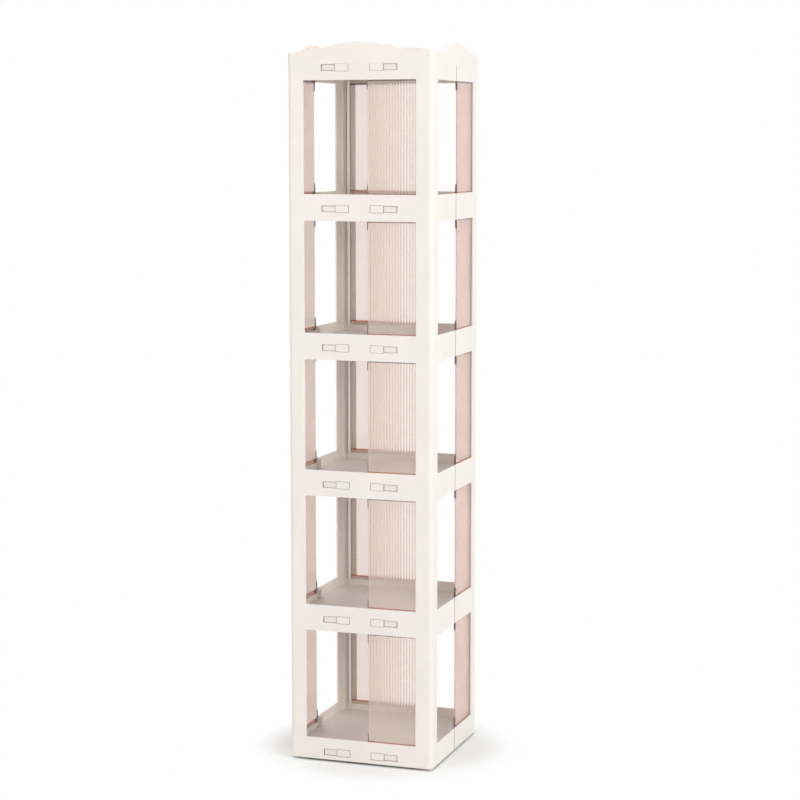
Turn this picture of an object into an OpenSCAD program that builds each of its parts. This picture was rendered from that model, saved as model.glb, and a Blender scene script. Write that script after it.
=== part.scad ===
// Revolving bookcase: a tall square tower of two half shells on a ball-bearing turntable.
// The shells carry tabbed shelf boards, and a fluted panel stands behind half of each window.
// Origin on the floor at the centre of the turntable, +Z up, front towards -Y.
// Walls count 0 front, 1 right, 2 rear, 3 left, and tiers count up from the floor.

/* [Tower] */
// Outside width of the square tower
tower_w = 330; // [320:1:380]
// Outside radius of the upright corners
corner_r = 10; // [6:0.5:12]
// Thickness of the shell walls
wall_t = 3; // [2:0.1:4]
// Width of the posts beside each window
post_w = 37.5; // [35:0.5:50]
// Height from one shelf to the next
tier_pitch = 300; // [260:1:360]
// Gap between the two half shells
seam_gap = 1.5; // [0.2:0.1:2]

/* [Rails and crown] */
// Height of wall from a shelf's top face up to the window sill
sill_h = 23.5; // [18:0.5:30]
// Height of wall from a window's head up to the underside of the board above
soffit_h = 19; // [15:0.5:26]
// Depth of the recess under the bottom shelf
base_recess = 9.5; // [7:0.5:12]
// Height of the upstand around the top board, at its corners
upstand_h = 24.5; // [12:0.5:40]
// Rise of the arched crown above the upstand
crown_h = 22; // [10:0.5:36]
// Flat shoulder between a corner's round and the crown's foot
crown_shoulder = 1; // [0:0.5:8]

/* [Shelf boards] */
// Overall thickness of a board
board_t = 15; // [13:0.5:18]
// Thickness of a board's top plate
board_plate_t = 3; // [2:0.1:4]
// Thickness of the skirt around a board
board_skirt_t = 2.5; // [2:0.1:4]
// Thickness of the ribs under a board
board_rib_t = 2.5; // [1.5:0.1:4]
// Spacing of the ribs under a board
board_rib_pitch = 80; // [66:1:100]
// Gap between a board's edge and the shell
board_fit = 0.2; // [0.1:0.05:0.5]

/* [Tabs and keys] */
// Width of each slot in the front and rear rails
slot_w = 62; // [52:1:72]
// Distance between the centres of a rail's two slots
slot_spacing = 110; // [96:1:130]
// Gap around the tabs and keys in a slot
slot_clear = 0.8; // [0.3:0.05:1]
// Step by which the key's half of a slot is lower, above and below
key_step = 1.4; // [0.4:0.1:2]
// Gap between a key's outer end and the slot's end
key_end = 1.6; // [0.5:0.1:2.5]
// Depth of a key's face below the wall's face
key_recess = 1.2; // [0.4:0.1:1.6]
// Width of a key's stem
key_stem_w = 20; // [12:0.5:24]
// Height of a key's stem
key_stem_h = 8; // [5:0.5:9]
// Length of a key's stem inside the board
key_stem_l = 11; // [6:0.5:20]
// Gap around a key's stem
key_fit = 0.2; // [0.1:0.05:0.4]

/* [Fluted panels] */
// Distance of a panel's free edge from the middle of its wall
panel_edge = 18; // [14:1:40]
// Overall thickness of a panel, to the crests of its flutes
panel_t = 3; // [2.4:0.1:4]
// Depth of the flutes
flute_depth = 0.7; // [0.4:0.1:1.4]
// Number of flutes across a panel
flute_count = 20; // [12:1:24]
// Flat land between two flutes
flute_land = 0.6; // [0.3:0.1:1]
// Lap of a panel behind the rails above and below its window
panel_lap = 8; // [4:0.5:12]
// Lap of a panel behind the post
panel_post_lap = 18.5; // [10:0.5:20]
// Gap between a panel and what holds it
panel_fit = 0.2; // [0.1:0.05:0.4]
// Wall thickness of the groove behind the post
groove_t = 2; // [1.5:0.1:3]
// Width of the groove's lip over the panel
groove_lip = 6; // [3:0.5:9]

/* [Clips] */
// Wall thickness of the seam clips
clip_t = 2; // [1.5:0.1:3]
// Thickness of the panel clips
panel_clip_t = 1.5; // [1:0.1:2]
// Leg of a panel clip along the panel, behind the rail
panel_clip_leg = 12; // [6:0.5:20]
// Length of a panel clip's lug in the window
panel_clip_show = 20; // [6:0.5:24]
// Depth of a panel clip's lug at its tip
panel_clip_tip = 4.2; // [1:0.1:4.5]
// Thickness of the flanges along the seams
flange_t = 2.5; // [1.5:0.1:4]
// Depth of the flanges along the seams
flange_d = 8; // [5:0.5:10]
// Gap between a flange and the board, sill or head beside it
flange_clear = 2; // [1:0.5:4]
// Gap between a seam clip and the flanges
clip_fit = 0.15; // [0.1:0.05:0.3]

/* [Turntable base] */
// Diameter of the base plate
base_d = 300; // [270:1:308]
// Thickness of the base plate
base_plate_t = 3; // [2:0.1:5]
// Chamfer of the base plate's edges
base_chamfer = 0.6; // [0.2:0.1:0.9]
// Number of rubber feet
foot_count = 6; // [4:1:8]
// Diameter of a rubber foot
foot_d = 30; // [18:1:32]
// Height of a rubber foot
foot_h = 3; // [2.5:0.1:6]
// Distance of a foot's middle from the base plate's edge
foot_in = 20; // [17:1:40]
// Diameter of a foot's peg
foot_peg_d = 6; // [4:0.5:10]
// Gap around pegs, screws and other fixed pins
pin_fit = 0.05; // [0.02:0.01:0.1]

/* [Ball bearing] */
// Diameter of the bearing balls
ball_d = 5; // [4.5:0.1:5.6]
// Number of bearing balls
ball_count = 24; // [12:1:36]
// Diameter of the circle that the balls run on
ball_pcd = 206; // [196:1:212]
// Gap between a ball and its race or cage
ball_clear = 0.1; // [0.05:0.01:0.15]
// Width of a race
race_w = 30; // [28:0.5:36]
// Thickness of a race
race_t = 3.5; // [3.2:0.1:5]
// Gap between the two races
race_gap = 1.5; // [1.3:0.1:2]
// Width of the ball cage
cage_w = 16; // [9:0.5:24]
// Gap between the ball cage and each race
cage_clear = 0.3; // [0.2:0.05:0.4]

/* [Screws and pivot] */
// Number of screws in each race
race_screw_count = 6; // [3:1:8]
// Distance of a race's screws from its outer edge
race_screw_in = 6; // [5:0.5:7]
// Diameter of a race's screws
screw_d = 3; // [2.4:0.1:3.2]
// Diameter of a screw's countersunk head
screw_head_d = 6; // [4.8:0.1:6.4]
// Height of a screw's countersunk head
screw_head_h = 1.6; // [1:0.1:2]
// Thickness of base plate left under the lower race's screws
screw_skin = 0.5; // [0.3:0.1:1]
// Bite of the upper race's screws into the bottom shelf
screw_bite = 8; // [4:0.5:9]
// Diameter of the bosses that take the upper race's screws
boss_d = 9; // [7:0.5:10]
// Diameter of the pivot bolt
bolt_d = 8; // [6:0.5:10]
// Diameter of the pivot bolt's head
bolt_head_d = 20; // [14:0.5:30]
// Thickness of the pivot bolt's head
bolt_head_t = 2; // [1:0.1:2.4]
// Length of bolt past the lock nut
bolt_end = 0.5; // [0.2:0.1:1]
// Gap around the pivot bolt where the tower turns on it
pivot_clear = 0.05; // [0.02:0.01:0.1]
// Gap between the pivot washer and the bottom shelf
run_clear = 0.3; // [0.3:0.05:0.5]
// Diameter of the pivot washer
washer_d = 20; // [17:0.5:26]
// Thickness of the pivot washer
washer_t = 1.2; // [0.8:0.1:2]
// Width of the lock nut across its flats
nut_af = 13; // [12.5:0.5:19]
// Thickness of the lock nut
nut_t = 4.5; // [3:0.1:5]
// Diameter of the well that holds the nut
well_d = 30; // [28:0.5:32]
// Diameter of the cap over the well
cap_d = 36; // [34:0.5:40]
// Thickness of the cap over the well
cap_t = 2.5; // [1.5:0.1:3]
// Gap between the lock nut's bolt and the cap
cap_room = 0.5; // [0.3:0.1:1]
// Diameter of the hub around the well
hub_d = 46; // [43:0.5:60]

/* [Hidden] */
$fn = 64;
// Overshoot of cuts past a face, and root of a piece inside the wall that it grows from
over = 1;
tiers = 5;
WALLS = ["front", "right", "rear", "left"];
inner_half = tower_w / 2 - wall_t;
window_half = tower_w / 2 - post_w;
window_h = tier_pitch - sill_h - board_t - soffit_h;
base_plate_z = foot_h;
foot_ring_r = base_d / 2 - foot_in;
lower_race_z = base_plate_z + base_plate_t;
ball_z = lower_race_z + race_t + race_gap / 2;
upper_race_z = lower_race_z + race_t + race_gap;
deck_z = upper_race_z + race_t;
tower_z = deck_z - base_recess;
crown_z = board_z(tiers) + board_t + upstand_h;
crown_half = tower_w / 2 - corner_r - crown_shoulder;
crown_arc_r = (pow(crown_half / 2, 2) + pow(crown_h / 2, 2)) / crown_h;
board_half = inner_half - board_fit;
board_r = corner_r - wall_t - board_fit;
skirt_r = max(board_r - board_skirt_t, board_fit);
slot_mid = slot_spacing / 2;
tab_w = (slot_w - 3 * slot_clear) / 2;
key_w = slot_w / 2 - slot_clear / 2 - key_end;
key_u = slot_mid + slot_clear / 2;
key_h = board_t - 2 * key_step;
socket_d = key_stem_l + key_fit + board_skirt_t;
panel_w = window_half + panel_post_lap - panel_edge;
panel_h = window_h + 2 * panel_lap;
flute_pitch = panel_w / flute_count;
flute_w = flute_pitch - flute_land;
flute_r = (pow(flute_w / 2, 2) + pow(flute_depth, 2)) / (2 * flute_depth);
groove_u = window_half + panel_post_lap + panel_fit;
flange_u = seam_gap / 2;
seam_clip_half = flange_u + flange_t + clip_fit + clip_t;
race_in = ball_pcd / 2 - race_w / 2;
race_out = ball_pcd / 2 + race_w / 2;
race_screw_r = race_out - race_screw_in;
ball_groove_r = ball_d / 2 + ball_clear;
cage_t = race_gap - 2 * cage_clear;
lower_screw_l = race_t + base_plate_t - screw_skin;
upper_screw_l = race_t + screw_bite;
nut_stack = run_clear + washer_t + nut_t + bolt_end + cap_room;
well_z = board_t - cap_t - nut_stack;
washer_z = deck_z + well_z + run_clear;
nut_z = washer_z + washer_t;
bolt_top = nut_z + nut_t + bolt_end;

function board_z(level) = deck_z + tier_pitch * level;
function sill_z(tier) = board_z(tier) + board_t + sill_h;
function head_z(tier) = sill_z(tier) + window_h;
function shelf_name(tier) = str("shelf_", tier + 1);
function panel_name(tier, wall) = str("panel_", tier + 1, "_", WALLS[wall]);
function clips_name(tier) = str("panel_clips_", tier + 1);

// Square with true round corners
module rounded_square(w, r) {
    square([w - 2 * r, w], center = true);
    square([w, w - 2 * r], center = true);
    for (x = [-1, 1], y = [-1, 1])
        translate([x, y] * (w / 2 - r)) circle(r);
}

// A wall's own frame: X to the right seen from outside, Y inwards from the wall's inner face
module on_wall(wall) {
    rotate([0, 0, 90 * wall]) translate([0, -inner_half, 0]) children();
}

module both_sides() {
    children();
    mirror([1, 0, 0]) children();
}

module around(count, turn = 0) {
    for (i = [0:count - 1])
        rotate([0, 0, turn + 360 / count * i]) children();
}

// Bell-shaped crown over one wall, of arcs that meet in tangents, with a root in the wall below it
module crown_outline() {
    intersection() {
        translate([0, crown_h - crown_arc_r]) circle(crown_arc_r, $fn = 256);
        translate([-crown_half / 2, -over]) square([crown_half, crown_h + 2 * over]);
    }
    both_sides() difference() {
        translate([crown_half / 2, -over]) square([crown_half / 2, crown_h + over]);
        translate([crown_half, crown_arc_r]) circle(crown_arc_r, $fn = 256);
    }
}

module crown(wall) {
    on_wall(wall) translate([0, 0, crown_z]) rotate([90, 0, 0]) linear_extrude(wall_t) crown_outline();
}

// Height ranges of the seam flanges: one above the sill's board and one under the head's board in each tier
module each_flange() {
    for (tier = [0:tiers - 1]) {
        translate([0, 0, board_z(tier) + board_t + flange_clear])
            linear_extrude(sill_h - 2 * flange_clear) children();
        translate([0, 0, head_z(tier) + flange_clear])
            linear_extrude(soffit_h - 2 * flange_clear) children();
    }
}

// Groove behind a post that holds the long edge of a tier's panel
module panel_groove(tier) {
    translate([groove_u, -over / 2, sill_z(tier) - panel_lap])
        cube([groove_t, over / 2 + panel_t + panel_fit + groove_t, panel_h]);
    translate([groove_u - groove_lip, panel_t + panel_fit, sill_z(tier) - panel_lap])
        cube([groove_lip + groove_t, groove_t, panel_h]);
}

// Slot in a rail: the tab's half is as high as a board, and the key's half is stepped in
module rail_slot() {
    translate([slot_mid - slot_w / 2, -wall_t - over, -slot_clear])
        cube([slot_w / 2, wall_t + 2 * over, board_t + 2 * slot_clear]);
    translate([slot_mid - over, -wall_t - over, key_step - slot_clear])
        cube([slot_w / 2 + over, wall_t + 2 * over, board_t + 2 * slot_clear - 2 * key_step]);
}

module shell_tube() {
    translate([0, 0, tower_z]) linear_extrude(crown_z - tower_z) difference() {
        rounded_square(tower_w, corner_r);
        rounded_square(2 * inner_half, corner_r - wall_t);
    }
}

// Half of the tower's wall, with its windows, slots, panel grooves and seam flanges
module half_shell() {
    difference() {
        union() {
            shell_tube();
            for (wall = [0, 1, 3]) crown(wall);
        }
        translate([-tower_w, -seam_gap / 2, 0]) cube([2 * tower_w, tower_w, 2 * crown_z]);
        for (tier = [0:tiers - 1]) {
            translate([-window_half, -tower_w, sill_z(tier)]) cube([2 * window_half, tower_w, window_h]);
            translate([-tower_w, -window_half, sill_z(tier)]) cube([2 * tower_w, tower_w, window_h]);
        }
        for (level = [0:tiers])
            on_wall(0) translate([0, 0, board_z(level)]) both_sides() rail_slot();
    }
    for (tier = [0:tiers - 1], wall = [0, 3]) on_wall(wall) panel_groove(tier);
    on_wall(1) each_flange() translate([-flange_u - flange_t, -over / 2])
        square([flange_t, flange_d + over / 2]);
    on_wall(3) each_flange() translate([flange_u, -over / 2])
        square([flange_t, flange_d + over / 2]);
}

module front_shell() {
    color("linen") half_shell();
}

module rear_shell() {
    color("linen") rotate([0, 0, 180]) half_shell();
}

// U-shaped clips that slide over the two shells' flanges and hold the seam shut
module seam_clips(wall) {
    color("antiquewhite") on_wall(wall) each_flange() difference() {
        translate([-seam_clip_half, clip_fit]) square([2 * seam_clip_half, flange_d + clip_t]);
        translate([clip_t - seam_clip_half, 0]) square([2 * (seam_clip_half - clip_t), flange_d + clip_fit]);
    }
}

// Tab that shows in the inner half of a slot, with the socket block that holds it and the key
module board_tab() {
    translate([slot_mid - slot_w / 2 + slot_clear, -wall_t, 0])
        cube([tab_w, wall_t + board_fit + over, board_t]);
    translate([slot_mid - slot_w / 2, board_fit, 0]) cube([slot_w, socket_d, board_t]);
}

module key_socket() {
    translate([key_u + key_w / 2 - key_stem_w / 2 - key_fit, board_fit - over, 0])
        translate([0, 0, board_t / 2 - key_stem_h / 2 - key_fit])
            cube([key_stem_w + 2 * key_fit, key_stem_l + key_fit + over, key_stem_h + 2 * key_fit]);
}

// Board with its top face at board_t: plate, skirt and ribs, and tabs at the front and rear
module board_body() {
    difference() {
        union() {
            translate([0, 0, board_t - board_plate_t])
                linear_extrude(board_plate_t) rounded_square(2 * board_half, board_r);
            linear_extrude(board_t) difference() {
                rounded_square(2 * board_half, board_r);
                rounded_square(2 * (board_half - board_skirt_t), skirt_r);
            }
            for (i = [-1:1], turn = [0, 90])
                rotate([0, 0, turn]) translate([i * board_rib_pitch - board_rib_t / 2, over - board_half, 0])
                    cube([board_rib_t, 2 * (board_half - over), board_t]);
            for (wall = [0, 2]) on_wall(wall) both_sides() board_tab();
        }
        for (wall = [0, 2]) on_wall(wall) both_sides() key_socket();
    }
}

module plain_board(level) {
    color("oldlace") translate([0, 0, board_z(level)]) board_body();
}

// Ring under the bottom shelf that seats one edge of the upper race
module race_seat(r) {
    linear_extrude(board_t - board_plate_t / 2) difference() {
        circle(r);
        circle(r - board_rib_t);
    }
}

// Bottom shelf, with the seats of the upper race and the well of the pivot
module bottom_shelf() {
    color("oldlace") translate([0, 0, deck_z]) difference() {
        union() {
            board_body();
            race_seat(race_in + board_rib_t);
            race_seat(race_out);
            cylinder(d = hub_d, h = board_t);
            around(race_screw_count)
                translate([race_screw_r, 0, 0]) cylinder(d = boss_d, h = board_t - board_plate_t / 2);
        }
        translate([0, 0, -over]) cylinder(d = bolt_d + 2 * pivot_clear, h = board_t);
        translate([0, 0, well_z]) cylinder(d = well_d, h = board_t);
        translate([0, 0, board_t - cap_t]) cylinder(d = cap_d, h = board_t);
        around(race_screw_count) translate([race_screw_r, 0, -over])
            cylinder(d = screw_d + 2 * pin_fit, h = screw_bite + pin_fit + over);
    }
}

// Keys that fill the outer half of each slot and lock the boards
module lock_keys(wall) {
    color("seashell") on_wall(wall) both_sides() for (level = [0:tiers])
        translate([key_u, 0, board_z(level) + board_t / 2]) {
            translate([0, key_recess - wall_t, -key_h / 2])
                cube([key_w, wall_t - key_recess + board_fit, key_h]);
            translate([key_w / 2 - key_stem_w / 2, 0, -key_stem_h / 2])
                cube([key_stem_w, board_fit + key_stem_l, key_stem_h]);
        }
}

// Fluted panel seen from above: rounded flutes towards the wall, and flat on its inner face
module panel_outline() {
    translate([0, flute_depth]) square([panel_w, panel_t - flute_depth]);
    for (i = [0:flute_count - 1])
        translate([flute_pitch * (i + 0.5), 0]) intersection() {
            translate([0, flute_r]) circle(flute_r);
            translate([-flute_w / 2, -panel_t / 4]) square([flute_w, panel_t]);
        }
}

module fluted_panel(tier, wall) {
    color("mistyrose", 0.6) on_wall(wall) translate([panel_edge, panel_fit / 2, sill_z(tier) - panel_lap])
        linear_extrude(panel_h) panel_outline();
}

// Clip at a panel's free edge: a drafted lug in the window, and a leg over the panel behind the rail
module panel_clip() {
    clip_d = panel_t + panel_fit + panel_clip_t;
    rotate([90, 0, 90]) linear_extrude(panel_clip_t) polygon([
        [0, -panel_lap],
        [clip_d, -panel_lap],
        [clip_d, 0],
        [panel_clip_tip, panel_clip_show],
        [0, panel_clip_show],
    ]);
    translate([0, panel_t + panel_fit, -panel_lap])
        cube([panel_clip_t + panel_fit + panel_clip_leg, panel_clip_t, panel_lap]);
}

module panel_clips(tier) {
    clip_u = panel_edge - panel_fit - panel_clip_t;
    color("rosybrown") for (wall = [0:3]) on_wall(wall) {
        translate([clip_u, 0, sill_z(tier)]) panel_clip();
        translate([clip_u, 0, head_z(tier)]) mirror([0, 0, 1]) panel_clip();
    }
}

module base_plate() {
    edge_r = base_d / 2;
    color("dimgray") translate([0, 0, base_plate_z]) difference() {
        rotate_extrude($fn = 128) polygon([
            [bolt_d / 2 + pin_fit, 0],
            [edge_r - base_chamfer, 0],
            [edge_r, base_chamfer],
            [edge_r, base_plate_t - base_chamfer],
            [edge_r - base_chamfer, base_plate_t],
            [bolt_d / 2 + pin_fit, base_plate_t],
        ]);
        around(foot_count) translate([foot_ring_r, 0, -over])
            cylinder(d = foot_peg_d + 2 * pin_fit, h = base_plate_t + 2 * over);
        around(race_screw_count, 180 / race_screw_count)
            translate([race_screw_r, 0, screw_skin])
                cylinder(d = screw_d + 2 * pin_fit, h = base_plate_t + over);
    }
}

// Feet with a chamfered edge and a peg pushed up into the base plate
module rubber_feet() {
    foot_chamfer = foot_h / 4;
    color("black") around(foot_count) translate([foot_ring_r, 0, 0]) {
        cylinder(d1 = foot_d - 2 * foot_chamfer, d2 = foot_d, h = foot_chamfer);
        translate([0, 0, foot_chamfer]) cylinder(d = foot_d, h = foot_h - foot_chamfer);
        cylinder(d = foot_peg_d, h = foot_h + base_plate_t);
    }
}

// Ring with a round ball groove in its top face
module race_ring() {
    rotate_extrude($fn = 128) difference() {
        translate([race_in, 0]) square([race_w, race_t]);
        translate([ball_pcd / 2, race_t + race_gap / 2]) circle(ball_groove_r);
    }
}

// Countersunk screw with its head's flat face at the origin, pointing down
module race_screw(length, gap = 0) {
    translate([0, 0, -screw_head_h])
        cylinder(d1 = screw_d + 2 * gap, d2 = screw_head_d + 2 * gap, h = screw_head_h);
    translate([0, 0, -length]) cylinder(d = screw_d + 2 * gap, h = length - screw_head_h + over / 10);
}

// Race with countersunk holes from its grooved face
module drilled_race() {
    difference() {
        race_ring();
        around(race_screw_count) translate([race_screw_r, 0, race_t]) race_screw(race_t + over, pin_fit);
    }
}

module lower_race() {
    color("silver") translate([0, 0, lower_race_z]) rotate([0, 0, 180 / race_screw_count]) drilled_race();
}

module lower_race_screws() {
    color("gray") around(race_screw_count, 180 / race_screw_count)
        translate([race_screw_r, 0, lower_race_z + race_t]) race_screw(lower_screw_l);
}

module upper_race() {
    color("silver") translate([0, 0, deck_z]) rotate([180, 0, 0]) drilled_race();
}

module upper_race_screws() {
    color("gray") around(race_screw_count)
        translate([race_screw_r, 0, upper_race_z]) rotate([180, 0, 0]) race_screw(upper_screw_l);
}

module ball_cage() {
    color("goldenrod") translate([0, 0, ball_z - cage_t / 2]) difference() {
        cylinder(d = ball_pcd + cage_w, h = cage_t, $fn = 128);
        translate([0, 0, -over]) cylinder(d = ball_pcd - cage_w, h = cage_t + 2 * over, $fn = 128);
        around(ball_count) translate([ball_pcd / 2, 0, -over])
            cylinder(r = ball_groove_r, h = cage_t + 2 * over);
    }
}

module bearing_balls() {
    color("lightgray") around(ball_count) translate([ball_pcd / 2, 0, ball_z]) sphere(d = ball_d);
}

module pivot_bolt() {
    color("gray") translate([0, 0, base_plate_z]) {
        translate([0, 0, -bolt_head_t]) cylinder(d = bolt_head_d, h = bolt_head_t);
        translate([0, 0, -over]) cylinder(d = bolt_d, h = bolt_top - base_plate_z + over);
    }
}

module pivot_washer() {
    color("silver") translate([0, 0, washer_z]) difference() {
        cylinder(d = washer_d, h = washer_t);
        translate([0, 0, -over]) cylinder(d = bolt_d + 2 * pin_fit, h = washer_t + 2 * over);
    }
}

module lock_nut() {
    color("gray") translate([0, 0, nut_z]) difference() {
        cylinder(d = nut_af / cos(30), h = nut_t, $fn = 6);
        translate([0, 0, -over]) cylinder(d = bolt_d + 2 * pin_fit, h = nut_t + 2 * over);
    }
}

module pivot_cap() {
    color("oldlace") translate([0, 0, deck_z + board_t - cap_t])
        cylinder(d = cap_d - 2 * board_fit, h = cap_t);
}

base_plate();
rubber_feet();
lower_race();
lower_race_screws();
pivot_bolt();
pivot_washer();
lock_nut();
ball_cage();
bearing_balls();
upper_race();
upper_race_screws();
pivot_cap();
front_shell();
rear_shell();
seam_clips(1);  // seam_clips_right
seam_clips(3);  // seam_clips_left
bottom_shelf();
for (tier = [1:tiers - 1])
    plain_board(tier);
plain_board(tiers);  // top_board
lock_keys(0);  // front_lock_keys
lock_keys(2);  // rear_lock_keys
for (tier = [0:tiers - 1], wall = [0:3])
    fluted_panel(tier, wall);
for (tier = [0:tiers - 1])
    panel_clips(tier);
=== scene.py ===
"""Looks of a revolving bookcase: moulded half shells, shelf boards, fluted panels and a turntable.

The file is laid out as an add-on. Run as a script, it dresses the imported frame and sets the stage.
Lengths are in metres. A wall's own frame has u to the right seen from outside and v inwards from
the wall's inner face. Walls count 0 front, 1 right, 2 rear, 3 left.
"""

import math
from collections import namedtuple

import bmesh
import bpy
from bpy.props import FloatProperty, FloatVectorProperty, IntProperty, PointerProperty
from mathutils import Matrix, Vector


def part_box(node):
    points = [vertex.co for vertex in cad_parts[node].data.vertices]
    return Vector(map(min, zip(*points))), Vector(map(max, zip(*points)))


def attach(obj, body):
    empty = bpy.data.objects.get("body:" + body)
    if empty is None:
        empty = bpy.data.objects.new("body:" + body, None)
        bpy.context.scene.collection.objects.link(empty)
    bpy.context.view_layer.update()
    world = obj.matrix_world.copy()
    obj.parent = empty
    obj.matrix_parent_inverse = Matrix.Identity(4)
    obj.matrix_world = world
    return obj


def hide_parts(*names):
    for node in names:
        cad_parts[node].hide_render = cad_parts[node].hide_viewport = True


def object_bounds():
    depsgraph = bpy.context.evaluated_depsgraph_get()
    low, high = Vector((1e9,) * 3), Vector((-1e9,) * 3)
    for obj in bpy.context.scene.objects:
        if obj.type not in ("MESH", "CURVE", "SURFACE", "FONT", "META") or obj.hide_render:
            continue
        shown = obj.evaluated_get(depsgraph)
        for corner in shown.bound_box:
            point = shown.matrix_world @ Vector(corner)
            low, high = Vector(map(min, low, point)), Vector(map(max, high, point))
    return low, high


bl_info = {
    "name": "Revolving Bookcase",
    "version": (1, 0, 0),
    "blender": (4, 5, 0),
    "location": "View3D > Sidebar > Bookcase",
    "description": "Dresses a revolving bookcase of moulded shells, shelf boards and fluted panels",
    "category": "Object",
}

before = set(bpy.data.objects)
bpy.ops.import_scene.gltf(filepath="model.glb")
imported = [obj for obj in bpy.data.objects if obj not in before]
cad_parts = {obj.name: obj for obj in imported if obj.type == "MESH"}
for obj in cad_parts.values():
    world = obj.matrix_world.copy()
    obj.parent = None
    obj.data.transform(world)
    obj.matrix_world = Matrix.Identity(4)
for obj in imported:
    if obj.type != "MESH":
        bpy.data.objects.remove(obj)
CAD_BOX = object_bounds()

WALLS = ("front", "right", "rear", "left")
BOARDS = ("shelf_1", "shelf_2", "shelf_3", "shelf_4", "shelf_5", "top_board")
TIERS = len(BOARDS) - 1
SHELL_LOW, SHELL_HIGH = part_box("front_shell")
PANEL_LOW, PANEL_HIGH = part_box("panel_1_front")
BOARD_SPANS = [(low.z, high.z) for low, high in map(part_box, BOARDS)]

# One upright line of a shell's grid: its wall, its place along it, its two plan points and its upper end
Station = namedtuple("Station", "wall u outer inner top")

WHITE = (1.0, 1.0, 1.0)
WELD_GAP = 1e-6  # Points nearer than this are one
FLAT_ANGLE = math.radians(0.5)  # Faces that differ by less are one flat face
SHARP_ANGLE = math.radians(32)  # Edges sharper than this are rounded
RIB_ANGLE = math.radians(30)  # Edges of a fluted panel sharper than this stay hard
FINE_GRAIN, BOARD_GRAIN = 0.0001, 0.00012  # Depth of the grain that a mould leaves
SEAM_REACH = 1.1  # Depth of the faces with painted shade at a seam, in rounds of the edge
SEAM_MARGIN = 0.002  # How far above the top board the seam's painted shade reaches
SLOT_SHADE = 0.8  # Painted shade in the slots, against 1 in the seams
SLOT_MARGIN, TAB_MARGIN = 0.001, 0.0015  # How far round a slot and a tab the painted shade reaches
SIDE_TILT = 0.5  # Side faces of a slot look less than this along the slot
SILL_SHADE_BAND, HEAD_SHADE_BAND = (-0.001, 0.002), (-0.0022, 0.001)  # Painted shade lines on a panel, from the sill's and the head's height
BLUSH_DENSITY = 44.0  # How strongly the panels' plastic colours the light, per metre
SENSOR_WIDTH = 36.0  # In millimetres
FLOOR_REACH = 14.0
# Softboxes: name, place and width
SOFTBOXES = (
    ("key", (4.0, -1.65, 1.7), 2.4),
    ("fill", (-2.6, -3.8, 1.2), 2.6),
    ("back", (-3.4, 2.7, 1.3), 2.6),
    ("top", (0.2, -0.4, 3.9), 2.6),
)


# Settings


class ShellSizes(bpy.types.PropertyGroup):
    """Sizes of the half shells, as in the part's source."""

    wall: FloatProperty(name="Wall", description="Thickness of the shell walls", default=0.003, unit="LENGTH")
    corner: FloatProperty(
        name="Corner", description="Outside radius of the upright corners", default=0.010, unit="LENGTH"
    )
    post: FloatProperty(
        name="Post", description="Width of the posts beside each window", default=0.0375, unit="LENGTH"
    )
    sill: FloatProperty(
        name="Sill", description="Height from a shelf's top face to the window sill", default=0.0235, unit="LENGTH"
    )
    soffit: FloatProperty(
        name="Soffit", description="Height from a window's head to the board above", default=0.019, unit="LENGTH"
    )
    crown_rise: FloatProperty(
        name="Crown rise", description="Rise of the arched crown above the corners", default=0.022, unit="LENGTH"
    )
    crown_half: FloatProperty(
        name="Crown half width", description="Half width of the arched crown", default=0.154, unit="LENGTH"
    )
    slot_near: FloatProperty(
        name="Slot near end", description="Slot's end nearer the middle of the wall", default=0.024, unit="LENGTH"
    )
    slot_middle: FloatProperty(
        name="Slot middle", description="Where the tab's half of a slot meets the key's", default=0.055, unit="LENGTH"
    )
    slot_far: FloatProperty(
        name="Slot far end", description="Slot's end nearer the post", default=0.086, unit="LENGTH"
    )
    slot_clear: FloatProperty(
        name="Slot gap", description="Gap around a tab in its slot", default=0.0008, unit="LENGTH"
    )
    key_step: FloatProperty(
        name="Key step", description="Step by which the key's half is lower", default=0.0014, unit="LENGTH"
    )
    groove_at: FloatProperty(
        name="Groove place", description="Where the groove behind a post stands", default=0.1462, unit="LENGTH"
    )
    groove_wall: FloatProperty(
        name="Groove wall", description="Wall thickness of the groove", default=0.002, unit="LENGTH"
    )
    groove_lip: FloatProperty(
        name="Groove lip", description="Width of the groove's lip over the panel", default=0.006, unit="LENGTH"
    )
    groove_gap: FloatProperty(
        name="Groove gap", description="Room between wall and lip for the panel", default=0.0032, unit="LENGTH"
    )
    flange: FloatProperty(
        name="Flange", description="Thickness of the flanges along the seams", default=0.0025, unit="LENGTH"
    )
    flange_depth: FloatProperty(
        name="Flange depth", description="Depth of the flanges along the seams", default=0.008, unit="LENGTH"
    )
    flange_clear: FloatProperty(
        name="Flange gap", description="Gap between a flange and what it stands beside", default=0.002, unit="LENGTH"
    )


class MouldSizes(bpy.types.PropertyGroup):
    """Fineness of the moulded forms."""

    edge: FloatProperty(name="Edge", description="Round of the shells' edges", default=0.00045, unit="LENGTH")
    small_edge: FloatProperty(
        name="Small edge", description="Round of the edges of small pieces", default=0.0003, unit="LENGTH"
    )
    corner_steps: IntProperty(name="Corner steps", description="Facets in an upright corner", default=10)
    crown_steps: IntProperty(name="Crown steps", description="Facets in half a crown", default=24)
    flutes: IntProperty(name="Flutes", description="Flutes across a panel", default=20)
    flute_steps: IntProperty(name="Flute steps", description="Facets in a flute", default=10)
    flute_depth: FloatProperty(name="Flute depth", description="Depth of the flutes", default=0.001, unit="LENGTH")
    flute_land: FloatProperty(
        name="Flute land", description="Flat land between two flutes", default=0.0006, unit="LENGTH"
    )


def colour(name, description, default):
    """Property for one colour."""
    return FloatVectorProperty(name=name, description=description, default=default, subtype="COLOR", min=0, max=1)


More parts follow.
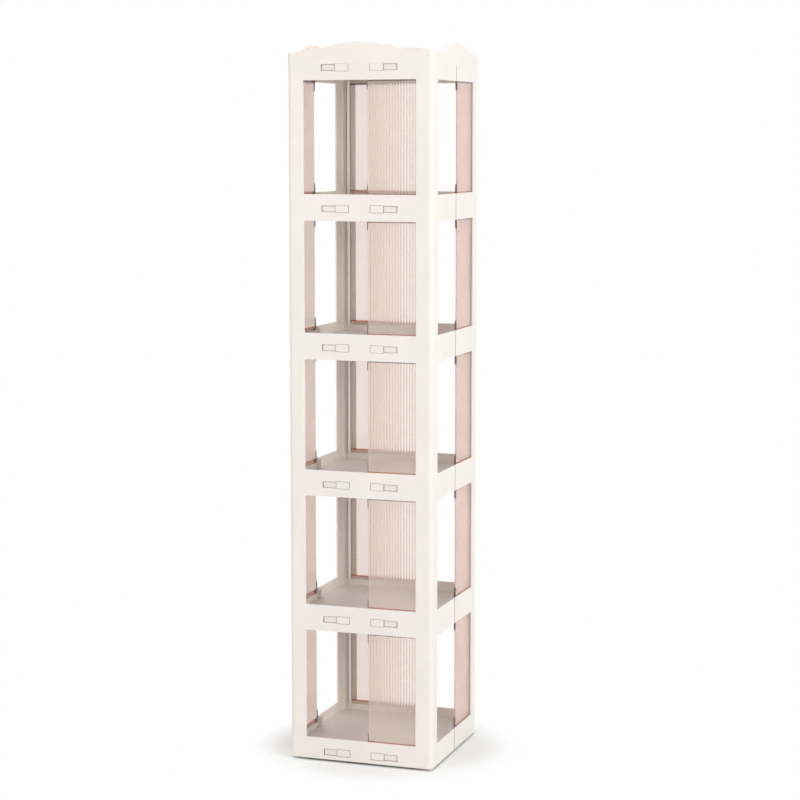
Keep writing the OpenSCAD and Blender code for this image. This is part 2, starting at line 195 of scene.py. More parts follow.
class FinishColours(bpy.types.PropertyGroup):
    """Colours of the finishes, in linear light."""

    shell: colour("Shell", "Cream plastic of the half shells", (0.87, 0.80, 0.745))
    board: colour("Board", "Cream plastic of the shelf boards", (0.86, 0.79, 0.735))
    key: colour("Key", "Cream plastic of the lock keys", (0.84, 0.77, 0.715))
    panel: colour("Panel", "Clear blush plastic of the fluted panels", (0.955, 0.925, 0.87))
    depth: colour("Panel depth", "Colour that the panels' plastic lets through", (0.97, 0.30, 0.22))
    bloom: colour("Panel bloom", "Bloom on the panels at a flat angle", (1.0, 0.80, 0.74))
    # The sill and head lines are painted shade where a panel runs behind the rails
    sill_shade_line: colour("Sill line", "Line where a panel meets the sill", (0.76, 0.44, 0.37))
    head_shade_line: colour("Head line", "Line where a panel meets the head", (0.36, 0.31, 0.28))
    # The clips' dark colour is painted shade: it stands for clips that sit in shade inside the tower
    clip: colour("Clip", "Smoky plastic of the panel clips", (0.24, 0.18, 0.16))
    coat: colour("Coat", "Powder coat of the base plate", (0.025, 0.025, 0.027))
    rubber: colour("Rubber", "Rubber of the feet", (0.018, 0.018, 0.018))
    zinc: colour("Zinc", "Zinc plate of races and screws", (0.56, 0.56, 0.54))
    ball: colour("Ball", "Polished steel of the balls", (0.72, 0.72, 0.72))
    nylon: colour("Nylon", "Natural nylon of the ball cage", (0.62, 0.55, 0.38))


class StageSettings(bpy.types.PropertyGroup):
    """Camera and light."""

    place: FloatVectorProperty(
        name="Camera place", description="Where the camera stands", default=(1.5648, -4.4642, 1.3706), unit="LENGTH"
    )
    yaw: FloatProperty(
        name="Yaw", description="Camera's turn to the left", default=math.radians(18.908), subtype="ANGLE"
    )
    pitch: FloatProperty(
        name="Pitch", description="Camera's tilt downwards", default=math.radians(6.973), subtype="ANGLE"
    )
    lens: FloatProperty(name="Lens", description="Focal length in millimetres", default=96.0)
    ambient: FloatProperty(name="Ambient", description="Strength of the light from all round", default=0.40)
    key: FloatProperty(name="Key light", description="Power of the light on the right", default=98.5, subtype="POWER")
    key_tint: colour("Key tint", "Colour of the light on the right", (0.94, 1.0, 0.99))
    fill: FloatProperty(name="Fill light", description="Power of the light on the left", default=51.0, subtype="POWER")
    back: FloatProperty(name="Back light", description="Power of the light behind", default=38.0, subtype="POWER")
    top: FloatProperty(name="Top light", description="Power of the light overhead", default=53.0, subtype="POWER")
    shade_near: FloatProperty(
        name="Shade near",
        description="Distance from the axis at which the floor's shade starts to fade",
        default=0.19,
        unit="LENGTH",
    )
    shade_far: FloatProperty(
        name="Shade far",
        description="Distance from the axis at which the floor's shade has faded",
        default=0.31,
        unit="LENGTH",
    )


class BookcaseSettings(bpy.types.PropertyGroup):
    """All settings of the bookcase."""

    shell: PointerProperty(type=ShellSizes)
    mould: PointerProperty(type=MouldSizes)
    colours: PointerProperty(type=FinishColours)
    stage: PointerProperty(type=StageSettings)


def settings():
    """The scene's settings."""
    return bpy.context.scene.bookcase


# Finishes


class Shade:
    """Output of a node that takes part in Python sums, through Math nodes."""

    def __init__(self, finish, socket):
        self.finish = finish
        self.socket = socket

    def _sum(self, operation, first, second):
        return self.finish.node("ShaderNodeMath", {"operation": operation}, {0: first, 1: second})

    def __add__(self, other):
        return self._sum("ADD", self, other)

    def __radd__(self, other):
        return self._sum("ADD", other, self)

    def __sub__(self, other):
        return self._sum("SUBTRACT", self, other)

    def __rsub__(self, other):
        return self._sum("SUBTRACT", other, self)

    def __mul__(self, other):
        return self._sum("MULTIPLY", self, other)

    def __rmul__(self, other):
        return self._sum("MULTIPLY", other, self)


class Finish:
    """A node tree under construction, for a material or the world."""

    def __init__(self, name, owner=None):
        self.owner = owner or bpy.data.materials.new(name)
        self.owner.use_nodes = True
        self.tree = self.owner.node_tree

    def put(self, socket, value):
        """Link or set one input."""
        if isinstance(value, Shade):
            self.tree.links.new(value.socket, socket)
        elif socket.type == "RGBA" and len(value) == 3:
            socket.default_value = (*value, 1.0)
        else:
            socket.default_value = value

    def node(self, kind, settings=None, sockets=None, output=0):
        """Add a node: its settings first, then the values or links of its inputs."""
        node = self.tree.nodes.new(kind)
        for key, value in (settings or {}).items():
            setattr(node, key, value)
        for key, value in (sockets or {}).items():
            self.put(node.inputs[key], value)
        return Shade(self, node.outputs[output])

    def place(self, stretch=(1, 1, 1)):
        """The object's own coordinates, stretched along its axes."""
        here = self.node("ShaderNodeTexCoord", output="Object")
        return self.node("ShaderNodeVectorMath", {"operation": "MULTIPLY"}, {0: here, 1: stretch})

    def noise(self, place, scale, detail=2.0, roughness=0.5):
        """Cloudy noise from 0 to 1."""
        sockets = {"Vector": place, "Scale": scale, "Detail": detail, "Roughness": roughness}
        return self.node("ShaderNodeTexNoise", None, sockets)

    def band(self, value, low, high):
        """Spread a value from low to high over 0 to 1, with soft ends."""
        sockets = {"Value": value, "From Min": low, "From Max": high}
        return self.node("ShaderNodeMapRange", {"interpolation_type": "SMOOTHSTEP"}, sockets)

    def stripe(self, value, low, high, soft=0.0006):
        """1 between two values and 0 outside, with soft ends."""
        return self.band(value, low - soft, low) * self.band(value, high + soft, high)

    def blend(self, first, second, share):
        """Mix of two colours."""
        sockets = {0: share, 6: first, 7: second}
        return self.node("ShaderNodeMix", {"data_type": "RGBA"}, sockets, output=2)

    def bump(self, height, strength, distance):
        """Normal from a height."""
        return self.node("ShaderNodeBump", None, {"Height": height, "Strength": strength, "Distance": distance})

    def mark(self, name):
        """1 on the faces that carry a mark and 0 elsewhere."""
        return self.node("ShaderNodeAttribute", {"attribute_name": name}, output="Fac")

    def surface(self, **sockets):
        """Set the inputs of the material's own shader, with spaces for underlines, and give the material."""
        shader = self.tree.nodes["Principled BSDF"]
        for key, value in sockets.items():
            self.put(shader.inputs[key.replace("_", " ")], value)
        return self.owner


def tint(shade, share):
    """A colour made lighter or darker by a share."""
    return tuple(min(1.0, channel * share) for channel in shade)


def moulded_plastic(name, shade, roughness, grain_depth):
    """Satin moulded plastic: fine eroded grain, faint clouds and flow lines, polish along the edges, and painted
    shade, darkened almost to black, on the faces in the seams and slots.
    """
    finish = Finish(name)
    place = finish.place()
    cloud = finish.band(finish.noise(place, 8, 4, 0.6), 0.3, 0.7)
    flow = finish.noise(finish.place((1, 1, 0.1)), 60, 3)
    grain = finish.noise(place, 1500, 2)
    speck = finish.band(finish.noise(place, 420, 1), 0.70, 0.78)
    edge = finish.mark("edge")
    body = finish.blend(tint(shade, 0.975), tint(shade, 1.02), cloud)
    body = finish.blend(body, tint(shade, 0.93), speck * 0.35)
    body = finish.blend(body, tint(shade, 1.06), edge * 0.6)
    # Painted shade: faces in the seams and slots darkened almost to black, standing for the shade in the gaps
    body = finish.blend(body, tint(shade, 0.12), finish.mark("joint") * 0.95)
    return finish.surface(
        Base_Color=body,
        Roughness=roughness + (flow - 0.5) * 0.16 + (cloud - 0.5) * 0.05 - edge * 0.08,
        Normal=finish.bump(grain, 0.35, grain_depth),
        IOR=1.5,
    )


def blush_sheet(name, colours, sill, head):
    """Clear blush plastic with draw lines along its flutes, a soft bloom, and painted shade lines at the rails."""
    finish = Finish(name)
    place = finish.place()
    cloud = finish.noise(place, 14, 3)
    draw = finish.noise(finish.place((1, 1, 0.02)), 500, 2)
    height = finish.node("ShaderNodeSeparateXYZ", None, {0: place}, output="Z")
    body = finish.blend(tint(colours.panel, 0.97), tint(colours.panel, 1.02), cloud)
    # Painted shade: a reddish line at the sill and a dark line at the head, where the panel runs behind the rails
    for rail, band, line in ((sill, SILL_SHADE_BAND, colours.sill_shade_line), (head, HEAD_SHADE_BAND, colours.head_shade_line)):
        body = finish.blend(body, tuple(line), finish.stripe(height, rail + band[0], rail + band[1]))
    sockets = {"Color": colours.depth, "Density": BLUSH_DENSITY}
    blush = finish.node("ShaderNodeVolumeAbsorption", None, sockets)
    finish.put(finish.tree.nodes["Material Output"].inputs["Volume"], blush)
    return finish.surface(
        Base_Color=body,
        Roughness=0.02 + draw * 0.03,
        Normal=finish.bump(draw, 0.01, 0.0001),
        IOR=1.25,
        Transmission_Weight=0.80,
        Sheen_Weight=0.5,
        Sheen_Roughness=0.5,
        Sheen_Tint=tuple(colours.bloom),
    )


def shaded_clip_plastic(name, shade):
    """Translucent moulded plastic of the panel clips, dark in colour as painted shade for clips that sit in shade."""
    finish = Finish(name)
    place = finish.place()
    cloud = finish.noise(place, 90, 3)
    grain = finish.noise(place, 1800, 2)
    body = finish.blend(tint(shade, 0.85), tint(shade, 1.15), cloud)
    return finish.surface(
        Base_Color=finish.blend(body, tint(shade, 1.7), finish.mark("edge") * 0.6),
        Roughness=0.24 + cloud * 0.1,
        Normal=finish.bump(grain, 0.15, 0.0001),
        IOR=1.49,
        Transmission_Weight=0.25,
    )


def powder_coat(name, shade):
    """Black powder coat with its orange peel, rubbed along the edges."""
    finish = Finish(name)
    place = finish.place()
    peel = finish.noise(place, 700, 3, 0.6)
    rub = finish.band(finish.noise(place, 60, 5, 0.7), 0.45, 0.7) * finish.mark("edge")
    body = finish.blend(tint(shade, 0.8), tint(shade, 1.4), peel)
    return finish.surface(
        Base_Color=finish.blend(body, (0.2, 0.2, 0.2), rub * 0.5),
        Roughness=0.5 + (peel - 0.5) * 0.2,
        Normal=finish.bump(peel, 0.5, 0.0002),
    )


def foot_rubber(name, shade):
    """Moulded rubber with a matt bloom."""
    finish = Finish(name)
    place = finish.place()
    bloom = finish.noise(place, 120, 4, 0.6)
    grain = finish.noise(place, 2500, 2)
    return finish.surface(
        Base_Color=finish.blend(shade, tint(shade, 2.2), bloom),
        Roughness=0.72 + bloom * 0.2,
        Normal=finish.bump(grain, 0.4, 0.0001),
        Specular_IOR_Level=0.3,
    )


def plated_steel(name, shade, roughness):
    """Zinc-plated steel: spangled plate with fine turning marks."""
    finish = Finish(name)
    place = finish.place()
    spangle = finish.node("ShaderNodeTexVoronoi", None, {"Vector": place, "Scale": 260.0}, output="Color")
    patch = finish.node("ShaderNodeSeparateColor", None, {"Color": spangle})
    turning = finish.noise(finish.place((1, 1, 6)), 1400, 2)
    return finish.surface(
        Base_Color=finish.blend(tint(shade, 0.88), tint(shade, 1.1), patch),
        Metallic=1.0,
        Roughness=roughness + (patch - 0.5) * 0.14 + (turning - 0.5) * 0.1,
        Normal=finish.bump(turning, 0.12, 0.0001),
    )


def polished_steel(name, shade):
    """Polished bearing steel with faint running marks."""
    finish = Finish(name)
    marks = finish.noise(finish.place(), 900, 4, 0.7)
    return finish.surface(
        Base_Color=finish.blend(tint(shade, 0.93), tint(shade, 1.05), marks),
        Metallic=1.0,
        Roughness=0.08 + marks * 0.1,
    )


# Meshes


def wall_point(wall, u, v):
    """Place in the plan of a point in a wall's own frame."""
    x, y = u, v + SHELL_LOW.y + settings().shell.wall
    for _ in range(wall):
        x, y = -y, x
    return Vector((x, y, 0))


def crown_rise(u):
    """Height of the bell-shaped crown at u, of two arcs that meet in a tangent."""
    shell = settings().shell
    half, rise = shell.crown_half, shell.crown_rise
    radius = (half**2 + rise**2) / (4 * rise)
    u = min(abs(u), half)
    if u < half / 2:
        return rise - radius + math.sqrt(radius**2 - u**2)
    return radius - math.sqrt(radius**2 - (half - u) ** 2)


def wall_breaks(low, high, edges):
    """Places of the grid's upright lines along a wall: the edges, and the crown's own steps between them."""
    shell, steps = settings().shell, settings().mould.crown_steps
    clear = shell.crown_half / steps / 3
    breaks = [u for u in edges if low < u < high] + [low, high]
    for k in range(-steps, steps + 1):
        u = shell.crown_half * k / steps
        if low < u < high and all(abs(u - b) > clear for b in breaks):
            breaks.append(u)
    return sorted(breaks)


def shell_stations():
    """Upright lines of the front half shell's grid, from the left seam round to the right one."""
    shell, steps = settings().shell, settings().mould.corner_steps
    straight = -SHELL_LOW.x - shell.corner
    window = -SHELL_LOW.x - shell.post
    seam = -SHELL_HIGH.y
    base = SHELL_HIGH.z - shell.crown_rise
    slots = (shell.slot_near, shell.slot_middle, shell.slot_far)
    front = [sign * u for u in (window, *slots) for sign in (-1, 1)]
    side = [-window, window]
    runs = ((3, seam, straight, side), (0, -straight, straight, front), (1, -straight, -seam, side))
    stations = []
    for wall, low, high, edges in runs:
        for u in wall_breaks(low, high, edges):
            outer, inner = wall_point(wall, u, -shell.wall), wall_point(wall, u, 0)
            stations.append(Station(wall, u, outer, inner, base + crown_rise(u)))
        if wall == 1:
            break  # No corner follows the right wall, which ends at the seam
        middle = shell.corner - shell.wall
        for k in range(1, steps):
            turn = math.pi / 2 * k / steps
            ring = [
                wall_point(wall, straight + r * math.sin(turn), middle - r * math.cos(turn))
                for r in (shell.corner, middle)
            ]
            stations.append(Station(None, 0, *ring, base))
    return stations


def window_spans():
    """Sill and head of each tier's windows."""
    shell = settings().shell
    between = zip(BOARD_SPANS, BOARD_SPANS[1:])
    return [(below[1] + shell.sill, above[0] - shell.soffit) for below, above in between]


def is_open(wall, u, z):
    """Whether a window or a slot is at this place in a wall."""
    shell = settings().shell
    if wall is None:
        return False
    if abs(u) < -SHELL_LOW.x - shell.post and any(low < z < high for low, high in window_spans()):
        return True
    if wall != 0 or not shell.slot_near < abs(u) < shell.slot_far:
        return False
    inset = shell.key_step - shell.slot_clear if abs(u) > shell.slot_middle else -shell.slot_clear
    return any(low + inset < z < high - inset for low, high in BOARD_SPANS)


def shell_wall(bm):
    """The front half shell's wall as a grid with its windows and slots left out."""
    shell = settings().shell
    stations = shell_stations()
    rows = {SHELL_LOW.z, SHELL_HIGH.z - shell.crown_rise - shell.wall}
    for low, high in window_spans():
        rows |= {low, high}
    for low, high in BOARD_SPANS:
        for inset in (-shell.slot_clear, shell.key_step - shell.slot_clear):
            rows |= {low + inset, high - inset}
    rows = sorted(rows)

    def height(i, j):
        return stations[i].top if j == len(rows) else rows[j]

    def solid(i, j):
        if not (0 <= i < len(stations) - 1 and 0 <= j < len(rows)):
            return False
        a, b = stations[i], stations[i + 1]
        wall = a.wall if a.wall == b.wall else None
        top = rows[j + 1] if j + 1 < len(rows) else rows[j] + shell.wall
        return not is_open(wall, (a.u + b.u) / 2, (rows[j] + top) / 2)

    made = {}

    def vert(side, i, j):
        if (side, i, j) not in made:
            plan = stations[i].outer if side == 0 else stations[i].inner
            made[side, i, j] = bm.verts.new((plan.x, plan.y, height(i, j)))
        return made[side, i, j]

    for i in range(len(stations) - 1):
        for j in range(len(rows)):
            if not solid(i, j):
                continue
            ring = ((i, j), (i + 1, j), (i + 1, j + 1), (i, j + 1))
            bm.faces.new([vert(0, *p) for p in ring])
            bm.faces.new([vert(1, *p) for p in reversed(ring)])
            beside = ((i, j - 1), (i + 1, j), (i, j + 1), (i - 1, j))
            for n, cell in enumerate(beside):
                if not solid(*cell):
                    a, b = ring[n], ring[(n + 1) % 4]
                    bm.faces.new((vert(0, *b), vert(0, *a), vert(1, *a), vert(1, *b)))


def block(bm, wall, low, high):
    """Box between two corners in a wall's own frame."""
    corners = [
        wall_point(wall, u, v) + Vector((0, 0, z))
        for z in (low[2], high[2])
        for u, v in ((low[0], low[1]), (high[0], low[1]), (high[0], high[1]), (low[0], high[1]))
    ]
    verts = [bm.verts.new(c) for c in corners]
    for ring in ((3, 2, 1, 0), (4, 5, 6, 7), (0, 1, 5, 4), (1, 2, 6, 5), (2, 3, 7, 6), (3, 0, 4, 7)):
        bm.faces.new([verts[k] for k in ring])


def shell_fittings(bm):
    """Grooves behind the posts and flanges along the seams."""
    shell = settings().shell
    root = -shell.wall / 6  # The fittings start a little way inside the wall
    far = shell.groove_at + shell.groove_wall
    lip = shell.groove_gap + shell.groove_wall
    for tier in range(TIERS):
        low = BOARD_SPANS[tier][1] + PANEL_LOW.z - BOARD_SPANS[0][1]
        high = low + PANEL_HIGH.z - PANEL_LOW.z
        for wall in (0, 3):
            block(bm, wall, (shell.groove_at, root, low), (far, lip, high))
            block(bm, wall, (shell.groove_at - shell.groove_lip, shell.groove_gap, low), (far, lip, high))
        sill, head = window_spans()[tier]
        spans = ((BOARD_SPANS[tier][1], sill), (head, BOARD_SPANS[tier + 1][0]))
        for low, high in spans:
            for wall, side in ((1, -1), (3, 1)):
                ends = sorted(side * d for d in (-SHELL_HIGH.y, shell.flange - SHELL_HIGH.y))
                block(
                    bm,
                    wall,
                    (ends[0], root, low + shell.flange_clear),
                    (ends[1], shell.flange_depth, high - shell.flange_clear),
                )


def soften(bm, radius, steps=2):
    """Round every sharp edge, and mark the rounds in the edge attribute."""
    bmesh.ops.recalc_face_normals(bm, faces=bm.faces)
    mark = bm.faces.layers.float.new("edge")
    sharp = [e for e in bm.edges if len(e.link_faces) == 2 and e.calc_face_angle() > SHARP_ANGLE]
    made = bmesh.ops.bevel(
        bm,
        geom=sharp,
        offset=radius,
        offset_type="OFFSET",
        segments=steps,
        profile=0.5,
        affect="EDGES",
        clamp_overlap=True,
    )
    for face in made["faces"]:
        face[mark] = 1.0
    for face in bm.faces:
        face.smooth = True


def mark_seam_shade(bm, reach):
    """Mark the rails' faces where the half shells meet, for painted shade in the seams."""
    mark = bm.faces.layers.float.new("joint")
    inside, top = SHELL_HIGH.y - reach * SEAM_REACH, BOARD_SPANS[-1][1] + SEAM_MARGIN
    for face in bm.faces:
        if all(v.co.y > inside and v.co.z < top for v in face.verts):
            face[mark] = 1.0


def mark_slot_shade(bm):
    """Mark the side faces in the slots, and those of the tabs and keys in them, for painted shade there too."""
    shell = settings().shell
    mark = bm.faces.layers.float.get("joint") or bm.faces.layers.float.new("joint")
    bm.normal_update()
    for face in bm.faces:
        middle = face.calc_center_median()
        in_wall = abs(middle.y) > -SHELL_LOW.y - shell.wall and abs(face.normal.y) < SIDE_TILT
        in_slot = shell.slot_near - SLOT_MARGIN < abs(middle.x) < shell.slot_far + SLOT_MARGIN
        by_tab = any(low - TAB_MARGIN < middle.z < high + TAB_MARGIN for low, high in BOARD_SPANS)
        if in_wall and in_slot and by_tab:
            face[mark] = SLOT_SHADE


def copy_of(*nodes):
    """Welded copy of CAD nodes, with flat faces in one piece each."""
    bm = bmesh.new()
    for node in nodes:
        bm.from_mesh(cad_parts[node].data)
    bmesh.ops.remove_doubles(bm, verts=bm.verts, dist=WELD_GAP)
    bmesh.ops.dissolve_limit(bm, angle_limit=FLAT_ANGLE, verts=bm.verts, edges=bm.edges)
    return bm


def mesh_from(bm, name, material):
    """Mesh with its material from finished mesh code."""
    mesh = bpy.data.meshes.new(name)
    bm.to_mesh(mesh)
    bm.free()
    mesh.materials.append(material)
    return mesh


def piece(name, mesh, body, nodes, matrix=None):
    """Object of the part that stands for CAD nodes and rides on a body."""
    made = bpy.data.objects.new(name, mesh)
    bpy.context.scene.collection.objects.link(made)
    if matrix is not None:
        made.matrix_world = matrix
    made.modifiers.new("Even faces", "WEIGHTED_NORMAL").keep_sharp = True
    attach(made, body)
    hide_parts(*nodes)
    return made


def softened_piece(node, body, material, radius):
    """Piece with rounded edges in place of one CAD node."""
    bm = copy_of(node)
    soften(bm, radius)
    mark_slot_shade(bm)
    return piece(node + "_moulding", mesh_from(bm, node, material), body, [node])


def flute_outline():
    """Plan of a fluted panel in a wall's own frame: rounded ribs outside, flat inside."""
    mould = settings().mould
    low, high = PANEL_LOW.x, PANEL_HIGH.x
    wall_face = SHELL_LOW.y + settings().shell.wall
    crest, back = PANEL_LOW.y - wall_face, PANEL_HIGH.y - wall_face
    pitch = (high - low) / mould.flutes
    half = (pitch - mould.flute_land) / 2
    depth = mould.flute_depth
    radius = (half**2 + depth**2) / (2 * depth)
    outline = [(high, back), (low, back), (low, crest + depth)]
    for n in range(mould.flutes):
        middle = low + pitch * (n + 0.5)
        for k in range(mould.flute_steps + 1):
            across = half * (2 * k / mould.flute_steps - 1)
            outline.append((middle + across, crest + radius - math.sqrt(radius**2 - across**2)))
    return outline + [(high, crest + depth)]


def flute_mesh(material):
    """One fluted panel on the front wall, with its lower edge at the origin's height."""
    bm = bmesh.new()
    height = PANEL_HIGH.z - PANEL_LOW.z
    outline = [wall_point(0, u, v) for u, v in flute_outline()]
    low = [bm.verts.new(p) for p in outline]
    high = [bm.verts.new(p + Vector((0, 0, height))) for p in outline]
    bm.faces.new(reversed(low))
    bm.faces.new(high)
    for n in range(len(outline)):
        m = (n + 1) % len(outline)
        bm.faces.new((low[n], low[m], high[m], high[n]))
    bmesh.ops.recalc_face_normals(bm, faces=bm.faces)
    for face in bm.faces:
        face.smooth = True
    mesh = mesh_from(bm, "fluted_panel", material)
    mesh.set_sharp_from_angle(angle=RIB_ANGLE)
    return mesh


# Stage


def seen(finish):
    """1 for rays that show the background to the camera, straight or in gloss and clear pieces."""
    straight, gloss, clear = (
        finish.node("ShaderNodeLightPath", output=name)
        for name in ("Is Camera Ray", "Is Glossy Ray", "Is Transmission Ray")
    )
    return finish.node("ShaderNodeMath", {"operation": "MINIMUM"}, {0: straight + gloss + clear, 1: 1.0})


def lay_floor(near, far):
    """Pale floor that keeps the shadow and fades into the white behind it."""
    mesh = bpy.data.meshes.new("floor")
    corners = [(x * FLOOR_REACH, y * FLOOR_REACH, 0) for x, y in ((-1, -1), (1, -1), (1, 1), (-1, 1))]
    mesh.from_pydata(corners, [], [(0, 1, 2, 3)])
    floor = bpy.data.objects.new("floor", mesh)
    bpy.context.scene.collection.objects.link(floor)
    finish = Finish("floor_paper")
    place = finish.place((1, 1, 0))
    away = finish.node("ShaderNodeVectorMath", {"operation": "LENGTH"}, {0: place}, output="Value")
    fibre = finish.noise(place, 300, 4)
    finish.surface(
        Base_Color=finish.blend((0.94, 0.94, 0.94), (0.96, 0.96, 0.96), fibre),
        Roughness=0.9,
        Specular_IOR_Level=0.1,
    )
    white = finish.node("ShaderNodeEmission", None, {"Color": WHITE, "Strength": 1.0})
    share = finish.band(away, near, far) * seen(finish)
    paper = Shade(finish, finish.tree.nodes["Principled BSDF"].outputs[0])
    mixed = finish.node("ShaderNodeMixShader", None, {0: share, 1: paper, 2: white})
    finish.put(finish.tree.nodes["Material Output"].inputs["Surface"], mixed)
    mesh.materials.append(finish.owner)


def light_world(strength):
    """Even light from all round, with white behind the object."""
    world = bpy.data.worlds.new("studio")
    bpy.context.scene.world = world
    finish = Finish("studio", world)
    sky = finish.tree.nodes["Background"]
    finish.put(sky.inputs["Color"], WHITE)
    finish.put(sky.inputs["Strength"], strength + seen(finish) * (1.0 - strength))


def add_softbox(name, place, width, power, hue):
    """Square area light, turned to the middle of the bookcase and not seen through clear pieces."""
    data = bpy.data.lights.new(name, "AREA")
    data.size = width
    data.energy = power
    data.color = hue
    lamp = bpy.data.objects.new(name, data)
    lamp.location = place
    lamp.visible_transmission = False
    aim = (CAD_BOX[0] + CAD_BOX[1]) / 2 - Vector(place)
    lamp.rotation_euler = aim.to_track_quat("-Z", "Y").to_euler()
    bpy.context.scene.collection.objects.link(lamp)


def set_camera(stage):
    """Camera at the photograph's viewing angle."""
    data = bpy.data.cameras.new("camera")
    data.lens = stage.lens
    data.sensor_width = SENSOR_WIDTH
    camera = bpy.data.objects.new("camera", data)
    camera.location = stage.place
    camera.rotation_euler = (math.pi / 2 - stage.pitch, 0, stage.yaw)
    bpy.context.scene.collection.objects.link(camera)
    bpy.context.scene.camera = camera


# Operators


class BookcaseOperator:
    """What the operators share."""

    bl_options = {"REGISTER", "UNDO"}

    def execute(self, context):
        self.build(context.scene.bookcase)
        return {"FINISHED"}


class BOOKCASE_OT_shells(BookcaseOperator, bpy.types.Operator):
    """Mould the two half shells, with their windows, slots, grooves, flanges and crown."""

    bl_idname = "bookcase.shells"
    bl_label = "Half Shells"

    def build(self, bookcase):
        bm = bmesh.new()
        shell_wall(bm)
        shell_fittings(bm)
        soften(bm, bookcase.mould.edge)
        mark_seam_shade(bm, bookcase.mould.edge)
        mark_slot_shade(bm)
        plastic = moulded_plastic("shell_plastic", bookcase.colours.shell, roughness=0.42, grain_depth=FINE_GRAIN)
        mesh = mesh_from(bm, "half_shell", plastic)
        piece("front_shell_moulding", mesh, "tower", ["front_shell"])
        turned = Matrix.Rotation(math.pi, 4, "Z")
        piece("rear_shell_moulding", mesh, "tower", ["rear_shell"], turned)
        for node in ("seam_clips_right", "seam_clips_left"):
            softened_piece(node, "tower", plastic, bookcase.mould.small_edge)


class BOOKCASE_OT_boards(BookcaseOperator, bpy.types.Operator):
    """Mould the shelf boards, the top board and the cap over the pivot."""

    bl_idname = "bookcase.boards"
    bl_label = "Shelf Boards"

    def build(self, bookcase):
        plastic = moulded_plastic("board_plastic", bookcase.colours.board, roughness=0.46, grain_depth=BOARD_GRAIN)
        for node in (*BOARDS, "pivot_cap"):
            softened_piece(node, "tower", plastic, bookcase.mould.edge)


class BOOKCASE_OT_keys(BookcaseOperator, bpy.types.Operator):
    """Mould the lock keys in the slots."""

    bl_idname = "bookcase.keys"
    bl_label = "Lock Keys"

    def build(self, bookcase):
        plastic = moulded_plastic("key_plastic", bookcase.colours.key, roughness=0.44, grain_depth=FINE_GRAIN)
        for node in ("front_lock_keys", "rear_lock_keys"):
            softened_piece(node, "tower", plastic, bookcase.mould.small_edge)


class BOOKCASE_OT_panels(BookcaseOperator, bpy.types.Operator):
    """Draw the fluted panels, and mould the clips that hold them."""

    bl_idname = "bookcase.panels"
    bl_label = "Fluted Panels"

    def build(self, bookcase):
        colours = bookcase.colours
        rails = [z - PANEL_LOW.z for z in window_spans()[0]]
        mesh = flute_mesh(blush_sheet("panel_plastic", colours, *rails))
        clip_finish = shaded_clip_plastic("clip_plastic", colours.clip)
        for tier in range(1, TIERS + 1):
            for wall, name in enumerate(WALLS):
                node = f"panel_{tier}_{name}"
                lift = Matrix.Translation((0, 0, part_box(node)[0].z))
                turn = Matrix.Rotation(math.pi / 2 * wall, 4, "Z")
                piece(node + "_sheet", mesh, "tower", [node], lift @ turn)
            softened_piece(f"panel_clips_{tier}", "tower", clip_finish, bookcase.mould.small_edge)


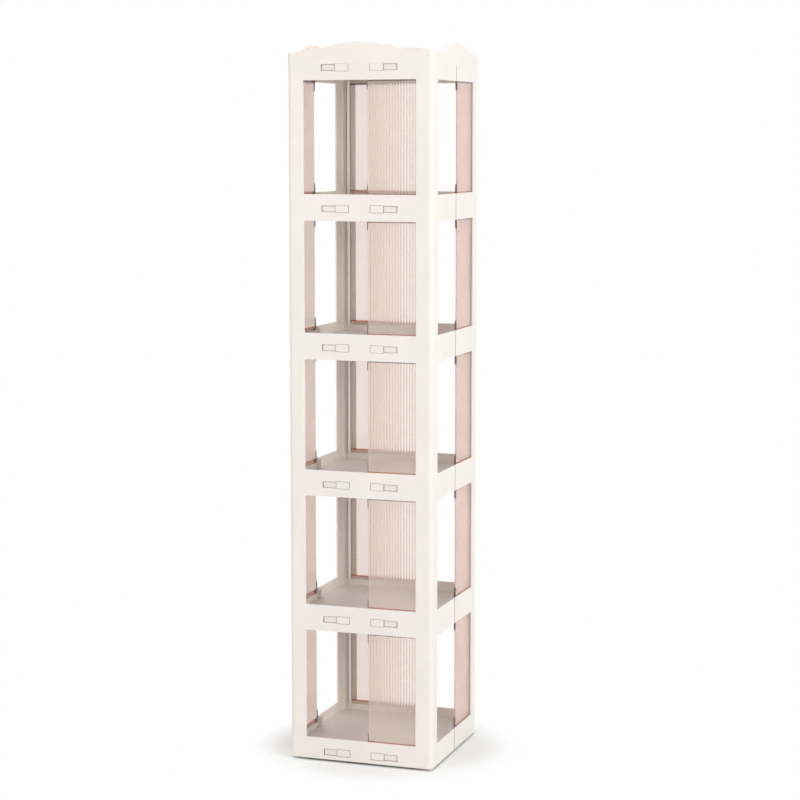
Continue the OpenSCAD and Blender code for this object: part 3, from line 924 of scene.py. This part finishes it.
class BOOKCASE_OT_turntable(BookcaseOperator, bpy.types.Operator):
    """Finish the turntable: base plate, feet, races, balls, screws and pivot."""

    bl_idname = "bookcase.turntable"
    bl_label = "Turntable"

    def build(self, bookcase):
        colours = bookcase.colours
        edge = bookcase.mould.small_edge
        zinc = plated_steel("race_steel", colours.zinc, roughness=0.34)
        screw = plated_steel("screw_steel", tint(colours.zinc, 0.95), roughness=0.3)
        softened_piece("base_plate", "base", powder_coat("base_steel", colours.coat), edge)
        softened_piece("rubber_feet", "base", foot_rubber("foot_rubber", colours.rubber), edge)
        softened_piece("lower_race", "base", zinc, edge)
        softened_piece("upper_race", "tower", zinc, edge)
        for node in ("lower_race_screws", "pivot_bolt", "pivot_washer", "lock_nut"):
            softened_piece(node, "base", screw, edge)
        softened_piece("upper_race_screws", "tower", screw, edge)
        nylon = moulded_plastic("cage_plastic", colours.nylon, roughness=0.5, grain_depth=FINE_GRAIN)
        softened_piece("ball_cage", "ball_carrier", nylon, edge / 3)  # Its bars are thin
        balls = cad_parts["bearing_balls"]
        balls.data.materials.clear()
        balls.data.materials.append(polished_steel("ball_steel", colours.ball))


class BOOKCASE_OT_stage(BookcaseOperator, bpy.types.Operator):
    """Set the floor, the light and the camera."""

    bl_idname = "bookcase.stage"
    bl_label = "Stage"

    def build(self, bookcase):
        stage = bookcase.stage
        bpy.context.scene.view_settings.view_transform = "Standard"
        lay_floor(stage.shade_near, stage.shade_far)
        light_world(stage.ambient)
        for name, place, width in SOFTBOXES:
            hue = stage.key_tint if name == "key" else WHITE
            add_softbox(f"{name}_softbox", place, width, getattr(stage, name), hue)
        set_camera(stage)


class BOOKCASE_PT_panel(bpy.types.Panel):
    """Lists the steps that dress the bookcase."""

    bl_idname = "BOOKCASE_PT_panel"
    bl_label = "Revolving Bookcase"
    bl_space_type = "VIEW_3D"
    bl_region_type = "UI"
    bl_category = "Bookcase"

    def draw(self, context):
        for operator in OPERATORS:
            self.layout.operator(operator.bl_idname)
        for group in ("shell", "mould", "colours", "stage"):
            box = self.layout.box()
            values = getattr(context.scene.bookcase, group)
            for name in values.__annotations__:
                box.prop(values, name)


OPERATORS = (
    BOOKCASE_OT_shells,
    BOOKCASE_OT_boards,
    BOOKCASE_OT_keys,
    BOOKCASE_OT_panels,
    BOOKCASE_OT_turntable,
    BOOKCASE_OT_stage,
)
CLASSES = (ShellSizes, MouldSizes, FinishColours, StageSettings, BookcaseSettings, *OPERATORS, BOOKCASE_PT_panel)


def register():
    for cls in CLASSES:
        bpy.utils.register_class(cls)
    bpy.types.Scene.bookcase = PointerProperty(type=BookcaseSettings)


def unregister():
    del bpy.types.Scene.bookcase
    for cls in reversed(CLASSES):
        bpy.utils.unregister_class(cls)


def main():
    register()
    bpy.ops.bookcase.shells()
    bpy.ops.bookcase.boards()
    bpy.ops.bookcase.keys()
    bpy.ops.bookcase.panels()
    bpy.ops.bookcase.turntable()
    bpy.ops.bookcase.stage()


if __name__ == "__main__":
    main()
